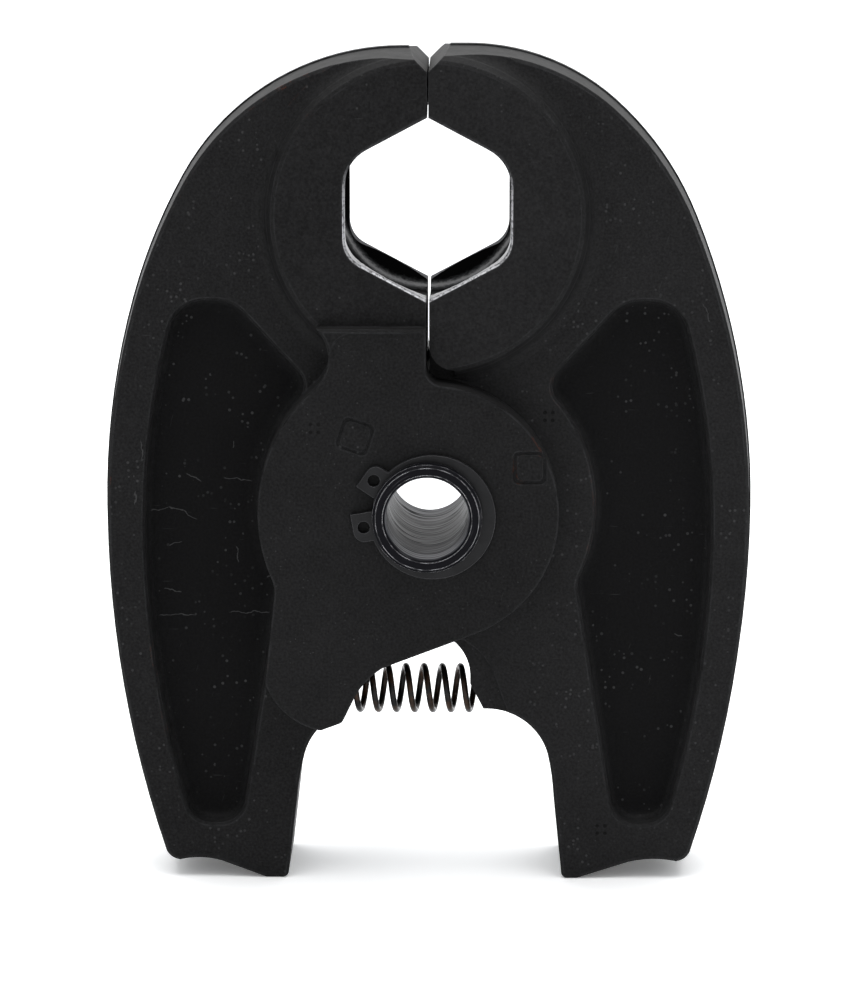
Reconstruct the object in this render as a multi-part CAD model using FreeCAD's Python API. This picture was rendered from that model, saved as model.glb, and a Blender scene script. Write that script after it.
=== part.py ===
import FreeCAD, Part
import math
import os

# Compact press jaw: two forged half jaws on one hollow pivot sleeve.
# Front faces -Y, +Z is up, the origin is the middle of the pivot sleeve's bore.
# All sizes are in millimetres and angles in degrees.

# Arms, with the widest place at the waist
WAIST_HALF_WIDTH = 48.0
WAIST_HEIGHT = -1.5
UPPER_SIDE_RADIUS = 114.7
LOWER_SIDE_RADIUS = 170.5
ARM_HALF_THICKNESS = 8.8
FORGING_DRAFT = 0.074
FLASH_BAND_HALF_WIDTH = 0.9
FLASH_BAND_PROUD = 0.15
EDGE_BREAK = 0.4
SIDE_EDGE_LIMIT = 0.5
PARTING_HALF_GAP = 0.22
TIP_HALF_GAP = 0.1

# Shoulder and crown of each arm; the two forgings differ a little
LEFT_SIDE_SPREAD = 15.9
LEFT_SHOULDER_SPREAD = 13.5
LEFT_SHOULDER_RADIUS = 83.7
LEFT_CROWN_RADIUS = 36.8
LEFT_TIP_CHAMFER = 2.7
RIGHT_SIDE_SPREAD = 22.4
RIGHT_SHOULDER_SPREAD = 26.0
RIGHT_SHOULDER_RADIUS = 45.8
RIGHT_CROWN_RADIUS = 32.4
RIGHT_TIP_CHAMFER = 3.0

# Tails
FOOT_HEIGHT = -54.5
FOOT_CORNER_RADIUS = 2.4
FOOT_HOLLOW = 0.4
FOOT_BEND_SHARE = 0.52
FOOT_BEND_DROP = 0.2
TOE_HEIGHT = -57.2
TOE_CORNER_RADIUS = 0.9
LEFT_TOE_WIDTH = 3.3
LEFT_TOE_INNER_X = 21.05
LEFT_FLANK_TOP_X = 19.6
LEFT_CROTCH_CENTRE_X = 9.35
RIGHT_TOE_WIDTH = 2.3
RIGHT_TOE_INNER_X = 20.15
RIGHT_FLANK_TOP_X = 18.85
RIGHT_CROTCH_CENTRE_X = 8.85
FLANK_TOP_HEIGHT = -44.6
FLANK_BULGE = 0.14
CROTCH_RADIUS = 9.4
CROTCH_END_ANGLE = 15.0
HUB_BOTTOM = -30.95

# Die
DIE_CENTRE_HEIGHT = 44.4
DIE_HALF_FLATS = 12.0
DIE_HALF_VERTEX = 13.25
DIE_SIDE_SLOPE = 28.0
DIE_UPPER_RADIUS = 6.0
DIE_LOWER_RADIUS = 4.2
DIE_LIP_CHAMFER = 0.4
BEAD_BOTTOM_RADIUS = 14.3
BEAD_ARC_RADIUS = 26.0
BEAD_RELIEF_SIDE = 1.7
BEAD_RELIEF_HALF_WIDTH = 5.0

# Boss round the die
BOSS_CENTRE_HEIGHT = 43.2
BOSS_RADIUS = 22.6
BOSS_HALF_THICKNESS = 12.5
BOSS_WALL_RUN = 0.8
BOSS_WALL_DROP = 1.7
BOSS_FOOT_RUN = 2.2
BOSS_FOOT_HOLLOW = 0.36
BOSS_CORNER_RADIUS = 3.7
BOSS_CORNER_LIFT = 0.3

# Pivot hub of the forked half
HUB_HALF_THICKNESS = 15.0
HUB_RADIUS = 24.8
HUB_WAIST_RADIUS = 6.0
HUB_FLANK_ANGLE = -26.0
HUB_FLANK_BEND_RADIUS = 5.0
EAR_RADIUS = 19.2
EAR_FILLET_RADIUS = 2.4
EAR_PLAY = 0.15
HUB_TOP_LEDGE = 0.25
HUB_TOP_LEDGE_WIDTH = 0.5
LEDGE_CORNER_X = 10.4
LEDGE_CORNER_DROP = 2.9
LEDGE_CORNER_RUN = 3.6
LEDGE_CORNER_BULGE = 0.95

# Lobe under the forked half's ear
LOBE_OUTER_X = 23.9
LOBE_OUTER_HEIGHT = -25.5
LOBE_OUTER_BULGE = 1.45
LOBE_TOE_WIDTH = 3.2
LOBE_INNER_X = 12.6
LOBE_BOTTOM = -32.65
LOBE_BOTTOM_SLOPE_RISE = 1.2
LOBE_INNER_RUN = 1.4
LOBE_INNER_RISE = 2.9
LOBE_THROAT_X = 6.6
LOBE_THROAT_HEIGHT = -23.1
LOBE_THROAT_BULGE = -0.55
LOBE_THROAT_RADIUS = 2.5
LOBE_OUTER_RADIUS = 2.0
LOBE_TOE_RADIUS = 1.0
LOBE_CORNER_RADIUS = 1.2

# Fork slot that takes the tongue
SLOT_CLEARANCE = 0.5
SLOT_WALL_X = 13.5

# Tongue of the other half
TONGUE_NECK_ANGLE = -96.0
TONGUE_STEP_TOP_X = 5.4
TONGUE_STEP_TOP_HEIGHT = -20.3
TONGUE_STEP_BULGE = 0.8
TONGUE_STEP_BEND_X = 10.4
TONGUE_STEP_BEND_HEIGHT = -26.9
TONGUE_STEP_FOOT_X = 12.0
SEAT_LUG_STEP = 0.5
SEAT_LUG_NECK_ANGLE = -87.0
SEAT_LUG_NECK_BULGE = 1.4
SEAT_LUG_X = 6.3
SEAT_LUG_TOP = -25.6
SEAT_LUG_BOTTOM = -27.1
SEAT_LUG_TOE_X = 8.3
SEAT_LUG_ROOT_X = 13.0

# Pockets in the arms
POCKET_RIM_WIDTH = 6.15
POCKET_WAIST_HEIGHT = -4.0
POCKET_UPPER_RADIUS = 118.65
POCKET_LOWER_RADIUS = 158.65
POCKET_DEPTH = 3.4
POCKET_FLOOR_FILLET = 2.2
POCKET_TOP = 30.6
POCKET_TOP_WIDTH = 8.1
POCKET_TOP_CORNER_RADIUS = 5.5
POCKET_SHOULDER_RUN = 2.7
POCKET_SHOULDER_RISE = 3.1
POCKET_SHOULDER_RADIUS = 3.2
POCKET_HUB_TOP_ANGLE = 37.0
POCKET_HUB_LOW_ANGLE = -27.5
POCKET_CUSP_RADIUS = 4.0
POCKET_END_RADIUS = 3.9
POCKET_BOTTOM = -48.7
POCKET_BOTTOM_WIDTH = 7.5

# Pivot sleeve and retaining rings
SLEEVE_RADIUS = 8.0
SLEEVE_BORE_RADIUS = 6.05
SLEEVE_HALF_LENGTH = 18.2
SLEEVE_CHAMFER = 0.45
SLEEVE_CLEARANCE = 0.05
RING_THICKNESS = 1.0
RING_SIDE_PLAY = 0.1
RING_GROOVE_DEPTH = 0.4
RING_GROOVE_WIDTH = 1.1
RING_SEAT_GAP = 0.02
RING_OUTER_RADIUS = 9.2
RING_OFFSET = 0.75
RING_OPENING_ANGLE = 168.0
RING_LUG_ANGLE = 22.2
RING_GAP_HALF_ANGLE = 7.3
RING_LUG_RADIUS = 11.0
RING_LUG_HALF_WIDTH = 2.15
RING_LUG_BEND_RADIUS = 1.6
RING_HOLE_RADIUS = 0.9
RING_HOLE_PITCH_RADIUS = 9.4

# Spring between the tails
SPRING_AXIS_HEIGHT = -29.9
SPRING_RADIUS = 3.3
SPRING_WIRE_RADIUS = 0.47
SPRING_PITCH = 2.745
SPRING_BOTTOM_X = 0.1
SPRING_SEAT_CLEARANCE = 0.3
SPRING_END_GAP = 0.1
TONGUE_SEAT_DEPTH = 5.5
FORK_SEAT_DEPTH = 4.5

# Inspection squares stamped on the forked half's ear
STAMP_SIDE = 4.9
STAMP_DEPTH = 0.35
STAMP_CORNER_RADIUS = 0.9
STAMP_FRAME = 0.5
STAMP_PAD_DROP = 0.1
STAMP_PLACES = [(-10.5, 11.6, -18.0), (14.9, 7.0, 0.0)]

# Lengths by which blanks and cutters run past what they shape
FAR = 90.0
OVERRUN = 5.0

LEFT = -1
RIGHT = 1


def at(x, z, y=0.0):
    return FreeCAD.Vector(x, y, z)


def polar(radius, degrees):
    turn = math.radians(degrees)
    return (radius * math.cos(turn), radius * math.sin(turn))


def on_arc(centre, radius, degrees):
    x, z = polar(radius, degrees)
    return (centre[0] + x, centre[1] + z)


def arc_middle(start, end, bulge):
    """Middle point of an arc that bulges to the left of the way from start to end."""
    run, rise = end[0] - start[0], end[1] - start[1]
    length = math.hypot(run, rise)
    return ((start[0] + end[0]) / 2 - bulge * rise / length,
            (start[1] + end[1]) / 2 + bulge * run / length)


def loop_wire(start, moves, side=RIGHT):
    """Closed wire in the XZ plane; a move is an end point, or a pair (middle, end) for an arc."""
    edges = []
    here = start
    for move in moves + [start]:
        if isinstance(move[0], tuple):
            middle, end = move
            arc = Part.Arc(at(side * here[0], here[1]), at(side * middle[0], middle[1]),
                           at(side * end[0], end[1]))
            edges.append(arc.toShape())
        else:
            end = move
            if math.dist(here, end) > 1e-7:
                edges.append(Part.makeLine(at(side * here[0], here[1]), at(side * end[0], end[1])))
        here = end
    return Part.Wire(edges)


def slab(wire, low, high):
    """Solid of the wire's area from Y = low to Y = high."""
    solid = Part.Face(wire).extrude(FreeCAD.Vector(0, high - low, 0))
    solid.translate(FreeCAD.Vector(0, low, 0))
    return solid


def both_faces(wire, low, high):
    """Two like slabs, one in front of the middle plane and one behind it."""
    return [slab(wire, -high, -low), slab(wire, low, high)]


def cylinder_y(radius, half_length, x=0.0, z=0.0, y=0.0):
    start = at(x, z, y - half_length)
    return Part.makeCylinder(radius, 2 * half_length, start, FreeCAD.Vector(0, 1, 0))


def fillet_upright(shape, spots, radius):
    """Round the edges that run along Y and pass through the given X, Z spots."""
    chosen = []
    for edge in shape.Edges:
        if edge.BoundBox.XLength > 0.01 or edge.BoundBox.ZLength > 0.01:
            continue
        middle = edge.BoundBox.Center
        if any(math.hypot(middle.x - x, middle.z - z) < 0.4 for x, z in spots):
            chosen.append(edge)
    return shape.makeFillet(radius, chosen)


def break_edges(shape, face_y, keep):
    """Chamfer the edges that lie in the planes Y = face_y and Y = -face_y where keep(centre) holds."""
    chosen = []
    for edge in shape.Edges:
        box = edge.BoundBox
        on_face = box.YLength < 0.001 and abs(abs(box.YMin) - face_y) < 0.001
        if on_face and keep(box.Center):
            chosen.append(edge)
    return shape.makeChamfer(EDGE_BREAK, chosen)


# Outer form of the pair

def side_arcs(side):
    """Arcs down one side as (centre, radius, start angle, end angle), tangent to one another."""
    if side == LEFT:
        crown_radius, shoulder_radius = LEFT_CROWN_RADIUS, LEFT_SHOULDER_RADIUS
        lean, turn = LEFT_SIDE_SPREAD, LEFT_SIDE_SPREAD + LEFT_SHOULDER_SPREAD
    else:
        crown_radius, shoulder_radius = RIGHT_CROWN_RADIUS, RIGHT_SHOULDER_RADIUS
        lean, turn = RIGHT_SIDE_SPREAD, RIGHT_SIDE_SPREAD + RIGHT_SHOULDER_SPREAD
    upper = (WAIST_HALF_WIDTH - UPPER_SIDE_RADIUS, WAIST_HEIGHT)
    lower = (WAIST_HALF_WIDTH - LOWER_SIDE_RADIUS, WAIST_HEIGHT)
    shoulder = on_arc(upper, UPPER_SIDE_RADIUS - shoulder_radius, lean)
    crown = on_arc(shoulder, shoulder_radius - crown_radius, turn)
    corner, corner_radius, meet = foot_corner()
    return [
        (crown, crown_radius, 90.0, turn),
        (shoulder, shoulder_radius, turn, lean),
        (upper, UPPER_SIDE_RADIUS, lean, 0.0),
        (lower, LOWER_SIDE_RADIUS, 0.0, -meet),
        (corner, corner_radius, -meet, -90.0),
    ]


def foot_corner():
    """Centre and radius of the arc round the foot's corner, and the angle at which it begins."""
    radius = FOOT_CORNER_RADIUS + FORGING_DRAFT * ARM_HALF_THICKNESS
    height = FOOT_HEIGHT + FOOT_CORNER_RADIUS
    meet = math.asin((WAIST_HEIGHT - height) / (LOWER_SIDE_RADIUS - radius))
    x = WAIST_HALF_WIDTH - LOWER_SIDE_RADIUS + (LOWER_SIDE_RADIUS - radius) * math.cos(meet)
    return (x, height), radius, math.degrees(meet)


def crown_top(side):
    crown, radius = side_arcs(side)[0][:2]
    return (crown[0], crown[1] + radius)


def silhouette_wire(inset, y, side):
    """One half of the silhouette, carried past the middle line and below the foot."""
    top = crown_top(side)
    moves = []
    for centre, radius, start, end in side_arcs(side):
        moves.append((on_arc(centre, radius - inset, (start + end) / 2),
                      on_arc(centre, radius - inset, end)))
    moves += [(foot_corner()[0][0], -FAR), (-FAR, -FAR), (-FAR, top[1] - inset)]
    wire = loop_wire((top[0], top[1] - inset), moves, side)
    wire.translate(FreeCAD.Vector(0, y, 0))
    return wire


def drafted_blank(side):
    """Forging blank with draft to both faces and a trimmed flash band round its middle."""
    depth = HUB_HALF_THICKNESS + OVERRUN
    inset = depth * FORGING_DRAFT
    middle = silhouette_wire(0.0, 0.0, side)
    front = Part.makeLoft([middle, silhouette_wire(inset, -depth, side)], True, True)
    rear = Part.makeLoft([middle, silhouette_wire(inset, depth, side)], True, True)
    proud = silhouette_wire(-FLASH_BAND_PROUD, 0.0, side)
    band = slab(proud, -FLASH_BAND_HALF_WIDTH, FLASH_BAND_HALF_WIDTH)
    return front.fuse([rear, band])


# Half jaw pieces that both halves share

def tail_sizes(side):
    """Toe width, toe inner edge, flank top and crotch centre of one tail."""
    if side == LEFT:
        return LEFT_TOE_WIDTH, LEFT_TOE_INNER_X, LEFT_FLANK_TOP_X, LEFT_CROTCH_CENTRE_X
    return RIGHT_TOE_WIDTH, RIGHT_TOE_INNER_X, RIGHT_FLANK_TOP_X, RIGHT_CROTCH_CENTRE_X


def tail_moves(side):
    """Moves from outside the arm round the foot and toe and up to the crotch."""
    toe_width, toe_inner, flank_top_x, crotch_x = tail_sizes(side)
    toe_outer = toe_inner + toe_width
    outside = WAIST_HALF_WIDTH + OVERRUN
    heel = (foot_corner()[0][0], FOOT_HEIGHT)
    bend_x = toe_outer + FOOT_BEND_SHARE * (heel[0] - toe_outer)
    bend = (bend_x, FOOT_HEIGHT - FOOT_BEND_DROP)
    flank_top = (flank_top_x, FLANK_TOP_HEIGHT)
    crotch = (crotch_x, HUB_BOTTOM - CROTCH_RADIUS)
    crotch_end = on_arc(crotch, CROTCH_RADIUS, CROTCH_END_ANGLE)
    top = crotch_top_angle(side)
    return [
        (outside, crown_top(side)[1] + OVERRUN),
        (outside, FOOT_HEIGHT),
        heel,
        (arc_middle(heel, bend, -FOOT_HOLLOW), bend),
        (toe_outer, TOE_HEIGHT),
        (toe_inner, TOE_HEIGHT),
        flank_top,
        (arc_middle(flank_top, crotch_end, -FLANK_BULGE), crotch_end),
        (on_arc(crotch, CROTCH_RADIUS, (CROTCH_END_ANGLE + top) / 2),
         on_arc(crotch, CROTCH_RADIUS, top)),
    ]


def crotch_top_angle(side):
    """Where the crotch's arc ends: at its top, or at the foot of the tongue's step line."""
    if side == LEFT:
        return 90.0
    return math.degrees(math.acos((TONGUE_STEP_FOOT_X - RIGHT_CROTCH_CENTRE_X) / CROTCH_RADIUS))


def arm_plate(inner_moves, side):
    """Arm and tail, from the crown round to the inner moves, with the toe's corners rounded."""
    start = (TIP_HALF_GAP, crown_top(side)[1] + OVERRUN)
    parting = [(PARTING_HALF_GAP, DIE_CENTRE_HEIGHT), (TIP_HALF_GAP, DIE_CENTRE_HEIGHT)]
    outline = loop_wire(start, tail_moves(side) + inner_moves + parting, side)
    plate = slab(outline, -ARM_HALF_THICKNESS, ARM_HALF_THICKNESS)
    toe_width, toe_inner = tail_sizes(side)[:2]
    toes = [(side * toe_inner, TOE_HEIGHT), (side * (toe_inner + toe_width), TOE_HEIGHT)]
    plate = fillet_upright(plate, toes, TOE_CORNER_RADIUS)
    plate = plate.cut(Part.makeCompound(pocket_cuts(side))).common(drafted_blank(side))
    return break_edges(plate, ARM_HALF_THICKNESS, away_from_hub)


def anywhere(centre):
    return True


def away_from_hub(centre):
    """True for the outer edges and the pockets, false along the parting line and under the hub."""
    if math.hypot(centre.x, centre.z) < HUB_RADIUS or abs(centre.x) < SIDE_EDGE_LIMIT:
        return False
    return centre.z > DIE_CENTRE_HEIGHT or abs(centre.x) > TONGUE_STEP_FOOT_X


def boss_solid():
    """Raised round boss with a sloping wall that runs out in a concave foot, on both faces."""
    top = BOSS_HALF_THICKNESS
    base = ARM_HALF_THICKNESS
    wall = (BOSS_RADIUS + BOSS_WALL_RUN, top - BOSS_WALL_DROP)
    foot = (wall[0] + BOSS_FOOT_RUN, base)
    middle = (wall[0] + BOSS_FOOT_HOLLOW * BOSS_FOOT_RUN, base + BOSS_FOOT_HOLLOW * (wall[1] - base))

    def point(r, y):
        return FreeCAD.Vector(r, y, BOSS_CENTRE_HEIGHT)

    edges = [Part.makeLine(point(0, -top), point(BOSS_RADIUS, -top)),
             Part.makeLine(point(BOSS_RADIUS, -top), point(wall[0], -wall[1])),
             Part.Arc(point(wall[0], -wall[1]), point(middle[0], -middle[1]),
                      point(foot[0], -foot[1])).toShape(),
             Part.makeLine(point(foot[0], -foot[1]), point(foot[0], foot[1])),
             Part.Arc(point(foot[0], foot[1]), point(middle[0], middle[1]),
                      point(wall[0], wall[1])).toShape(),
             Part.makeLine(point(wall[0], wall[1]), point(BOSS_RADIUS, top)),
             Part.makeLine(point(BOSS_RADIUS, top), point(0, top)),
             Part.makeLine(point(0, top), point(0, -top))]
    face = Part.Face(Part.Wire(edges))
    boss = face.revolve(at(0, BOSS_CENTRE_HEIGHT), FreeCAD.Vector(0, 1, 0), 360)
    return break_edges(boss, BOSS_HALF_THICKNESS, anywhere)


def half_boss(side):
    """The boss up to this half's parting face."""
    other = [(-FAR, 0), (-FAR, FAR), (TIP_HALF_GAP, FAR), (TIP_HALF_GAP, DIE_CENTRE_HEIGHT),
             (PARTING_HALF_GAP, DIE_CENTRE_HEIGHT)]
    return boss_solid().cut(slab(loop_wire((PARTING_HALF_GAP, 0), other, side), -FAR, FAR))


def die_prism(half_length, grow=0.0):
    """Rounded six-sided opening of the closed die."""
    flats = DIE_HALF_FLATS + grow
    vertex = DIE_HALF_VERTEX + grow
    corner = vertex - flats * math.tan(math.radians(DIE_SIDE_SLOPE))
    points = [(0, vertex), (flats, corner), (flats, -corner),
              (0, -vertex), (-flats, -corner), (-flats, corner)]
    points = [(x, DIE_CENTRE_HEIGHT + z) for x, z in points]
    prism = slab(loop_wire(points[0], points[1:]), -half_length, half_length)
    prism = fillet_upright(prism, [points[1], points[5]], DIE_UPPER_RADIUS)
    return fillet_upright(prism, [points[2], points[4]], DIE_LOWER_RADIUS)


def bead_groove():
    """Barrel-shaped groove that presses the fitting's bead, turned about the die's axis."""
    reach = BEAD_BOTTOM_RADIUS - DIE_HALF_FLATS / 2
    half = math.sqrt(BEAD_ARC_RADIUS ** 2 - (BEAD_ARC_RADIUS - reach) ** 2)

    def point(r, y):
        return FreeCAD.Vector(r, y, DIE_CENTRE_HEIGHT)

    inner = BEAD_BOTTOM_RADIUS - reach
    edges = [Part.makeLine(point(0, -half), point(inner, -half)),
             Part.Arc(point(inner, -half), point(BEAD_BOTTOM_RADIUS, 0), point(inner, half)).toShape(),
             Part.makeLine(point(inner, half), point(0, half)),
             Part.makeLine(point(0, half), point(0, -half))]
    face = Part.Face(Part.Wire(edges))
    return face.revolve(at(0, DIE_CENTRE_HEIGHT), FreeCAD.Vector(0, 1, 0), 360)


def lip_chamfer(face_y):
    """Tapered plug that breaks the die's edge at one face."""
    ends = [face for face in die_prism(DIE_LIP_CHAMFER).Faces if face.BoundBox.YLength < 0.01]
    small = ends[0].OuterWire.copy()
    small.translate(FreeCAD.Vector(0, -small.BoundBox.Center.y, 0))
    large = small.makeOffset2D(2 * DIE_LIP_CHAMFER)
    outward = math.copysign(DIE_LIP_CHAMFER, face_y)
    small.translate(FreeCAD.Vector(0, face_y - outward, 0))
    large.translate(FreeCAD.Vector(0, face_y + outward, 0))
    return Part.makeLoft([small, large], True, True)


def bead_relief():
    """Small diamond-section relief where the groove meets the parting line, above and below."""
    cuts = []
    reach = BEAD_RELIEF_SIDE * math.sqrt(0.5)
    for vertex in (-DIE_HALF_VERTEX, DIE_HALF_VERTEX):
        z = DIE_CENTRE_HEIGHT + vertex
        diamond = loop_wire((reach, z), [(0, z - reach), (-reach, z), (0, z + reach)])
        cuts.append(slab(diamond, -BEAD_RELIEF_HALF_WIDTH, BEAD_RELIEF_HALF_WIDTH))
    return cuts


def die_cuts():
    """Everything that is cut out of both halves to make the die."""
    cuts = [die_prism(HUB_HALF_THICKNESS), bead_groove()]
    cuts += [lip_chamfer(-BOSS_HALF_THICKNESS), lip_chamfer(BOSS_HALF_THICKNESS)]
    return cuts + bead_relief()


def tip_cut(side):
    """Chamfer that opens the parting line at the tips."""
    chamfer = LEFT_TIP_CHAMFER if side == LEFT else RIGHT_TIP_CHAMFER
    top = crown_top(side)[1]
    high = (TIP_HALF_GAP + chamfer + OVERRUN, top + OVERRUN)
    low = (TIP_HALF_GAP - OVERRUN, top - chamfer - OVERRUN)
    return slab(loop_wire((low[0], high[1]), [high, low], side), -FAR, FAR)


def pocket_plug(side):
    """Long tapering pocket between the arm's rim and the hub, to be cut from the front face."""
    waist = (WAIST_HALF_WIDTH - POCKET_RIM_WIDTH, POCKET_WAIST_HEIGHT)
    upper = (waist[0] - POCKET_UPPER_RADIUS, waist[1])
    lower = (waist[0] - POCKET_LOWER_RADIUS, waist[1])
    low_angle = math.degrees(math.asin((waist[1] - POCKET_BOTTOM) / POCKET_LOWER_RADIUS))
    top_angle = math.degrees(math.asin((POCKET_TOP - waist[1]) / POCKET_UPPER_RADIUS))

    hub_top = polar(HUB_RADIUS, POCKET_HUB_TOP_ANGLE)
    shoulder = (hub_top[0] - POCKET_SHOULDER_RUN, hub_top[1] + POCKET_SHOULDER_RISE)
    hub_middle = polar(HUB_RADIUS, (POCKET_HUB_TOP_ANGLE + POCKET_HUB_LOW_ANGLE) / 2)
    hub_low = polar(HUB_RADIUS, POCKET_HUB_LOW_ANGLE)
    low_outer = on_arc(lower, POCKET_LOWER_RADIUS, -low_angle)
    low_inner = (low_outer[0] - POCKET_BOTTOM_WIDTH, POCKET_BOTTOM)
    top_outer = on_arc(upper, POCKET_UPPER_RADIUS, top_angle)
    top_inner = (top_outer[0] - POCKET_TOP_WIDTH, POCKET_TOP)
    moves = [
        (on_arc(lower, POCKET_LOWER_RADIUS, -low_angle / 2), low_outer),
        low_inner,
        hub_low,
        (hub_middle, hub_top),
        shoulder,
        top_inner,
        top_outer,
        (on_arc(upper, POCKET_UPPER_RADIUS, top_angle / 2), waist),
    ]
    front = -ARM_HALF_THICKNESS
    plug = slab(loop_wire(waist, moves, side), front - OVERRUN, front + POCKET_DEPTH)

    def spots(*points):
        return [(side * x, z) for x, z in points]

    plug = fillet_upright(plug, spots(low_outer, low_inner), POCKET_END_RADIUS)
    plug = fillet_upright(plug, spots(top_outer), POCKET_TOP_CORNER_RADIUS)
    plug = fillet_upright(plug, spots(top_inner), POCKET_TOP_CORNER_RADIUS)
    plug = fillet_upright(plug, spots(hub_low), POCKET_CUSP_RADIUS)
    plug = fillet_upright(plug, spots(shoulder, hub_top), POCKET_SHOULDER_RADIUS)
    floor = [edge for edge in plug.Edges
             if edge.BoundBox.YLength < 0.01 and edge.BoundBox.YMin > front + POCKET_DEPTH - 0.1]
    return plug.makeFillet(POCKET_FLOOR_FILLET, floor)


def pocket_cuts(side):
    front = pocket_plug(side)
    return [front, front.mirror(FreeCAD.Vector(0, 0, 0), FreeCAD.Vector(0, 1, 0))]


def spring_seat(mouth_x, depth, side):
    """Blind hole for one end of the spring; it starts well outside the wall."""
    radius = SPRING_RADIUS + SPRING_WIRE_RADIUS + SPRING_SEAT_CLEARANCE
    start = at(side * (mouth_x - OVERRUN), SPRING_AXIS_HEIGHT)
    return Part.makeCylinder(radius, depth + OVERRUN, start, FreeCAD.Vector(side, 0, 0))


def stamp_cuts():
    """Sunk square frames on the ear, each with a pad left standing inside."""
    cuts = []
    for x, z, turn in STAMP_PLACES:
        frame = rounded_square(STAMP_SIDE, HUB_HALF_THICKNESS - STAMP_DEPTH,
                               HUB_HALF_THICKNESS + OVERRUN)
        pad = rounded_square(STAMP_SIDE - 2 * STAMP_FRAME, HUB_HALF_THICKNESS - 2 * STAMP_DEPTH,
                             HUB_HALF_THICKNESS - STAMP_PAD_DROP)
        cut = frame.cut(pad)
        cut.rotate(FreeCAD.Vector(0, 0, 0), FreeCAD.Vector(0, 1, 0), -turn)
        cut.translate(at(x, z))
        cuts.append(cut)
    return cuts


def rounded_square(side, depth_low, depth_high):
    half = side / 2
    points = [(half, half), (half, -half), (-half, -half), (-half, half)]
    square = slab(loop_wire(points[0], points[1:]), -depth_high, -depth_low)
    return fillet_upright(square, points, STAMP_CORNER_RADIUS)


# Forked half, on the left

def ear_wire(side=LEFT):
    """Outline of the forked half's hub: ear disc, waist, flank and lobe (x grows to the left)."""
    waist_reach = BOSS_RADIUS + HUB_WAIST_RADIUS
    hub_reach = HUB_RADIUS + HUB_WAIST_RADIUS
    span = BOSS_CENTRE_HEIGHT
    height = (span ** 2 + hub_reach ** 2 - waist_reach ** 2) / (2 * span)
    across = math.sqrt(hub_reach ** 2 - height ** 2)
    top = (across * BOSS_RADIUS / waist_reach, span + (height - span) * BOSS_RADIUS / waist_reach)
    waist = (across - HUB_WAIST_RADIUS, height)
    hub_start = (across * HUB_RADIUS / hub_reach, height * HUB_RADIUS / hub_reach)
    hub_start_angle = math.degrees(math.atan2(height, across))
    hub_middle = polar(HUB_RADIUS, (hub_start_angle + HUB_FLANK_ANGLE) / 2)
    hub_end = polar(HUB_RADIUS, HUB_FLANK_ANGLE)

    throat = (LOBE_THROAT_X, LOBE_THROAT_HEIGHT)
    distance = math.hypot(*throat)
    aim = math.degrees(math.atan2(throat[1], throat[0]))
    tangent = aim - math.degrees(math.acos(EAR_RADIUS / distance))
    tangent_point = polar(EAR_RADIUS, tangent)

    fillet_x = -PARTING_HALF_GAP + EAR_FILLET_RADIUS
    fillet_z = math.sqrt((EAR_RADIUS + EAR_FILLET_RADIUS) ** 2 - fillet_x ** 2)
    scale = EAR_RADIUS / (EAR_RADIUS + EAR_FILLET_RADIUS)
    fillet_low = (-fillet_x * scale, fillet_z * scale)
    to_hub = 180 + math.degrees(math.atan2(fillet_z, fillet_x))
    across_fillet, down_fillet = polar(EAR_FILLET_RADIUS, (to_hub + 180) / 2)
    fillet_middle = (-fillet_x - across_fillet, fillet_z + down_fillet)

    lobe_outer = (LOBE_OUTER_X, LOBE_OUTER_HEIGHT)
    lobe_toe = (LOBE_INNER_X + LOBE_TOE_WIDTH, LOBE_BOTTOM)
    lobe_inner = (LOBE_INNER_X - LOBE_INNER_RUN,
                  LOBE_BOTTOM + LOBE_BOTTOM_SLOPE_RISE + LOBE_INNER_RISE)
    moves = [
        top,
        (waist, hub_start),
        (hub_middle, hub_end),
        lobe_outer,
        (arc_middle(lobe_outer, lobe_toe, LOBE_OUTER_BULGE), lobe_toe),
        (LOBE_INNER_X, LOBE_BOTTOM + LOBE_BOTTOM_SLOPE_RISE),
        lobe_inner,
        (arc_middle(lobe_inner, throat, LOBE_THROAT_BULGE), throat),
        tangent_point,
        (polar(EAR_RADIUS, 180.0), fillet_low),
        (fillet_middle, (PARTING_HALF_GAP, fillet_z)),
    ]
    start = (PARTING_HALF_GAP, top[1])
    return loop_wire(start, moves, side), top, hub_end


def ledge_cut(top_z):
    """Machined face of the ear, a little below the ledge that is left along its top."""
    z = top_z - HUB_TOP_LEDGE_WIDTH
    high = (LEDGE_CORNER_X, z)
    low = (LEDGE_CORNER_X + LEDGE_CORNER_RUN, z - LEDGE_CORNER_DROP)
    corner = (arc_middle(high, low, LEDGE_CORNER_BULGE), low)
    outline = loop_wire((-FAR, z), [high, corner, (FAR, low[1]), (FAR, -FAR), (-FAR, -FAR)], LEFT)
    return both_faces(outline, HUB_HALF_THICKNESS, HUB_HALF_THICKNESS + OVERRUN)


def fork_slot():
    """Slot for the tongue's disc, open to the right and downwards."""
    half = ARM_HALF_THICKNESS + EAR_PLAY
    radius = EAR_RADIUS + SLOT_CLEARANCE
    disc = cylinder_y(radius, half)
    below = LOBE_BOTTOM - OVERRUN
    middle = DIE_CENTRE_HEIGHT
    parting = [(-FAR, middle), (PARTING_HALF_GAP, middle), (PARTING_HALF_GAP, 0)]
    outline = loop_wire((SLOT_WALL_X, 0), [(SLOT_WALL_X, below), (-FAR, below)] + parting, LEFT)
    return [disc, slab(outline, -half, half)]


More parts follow.
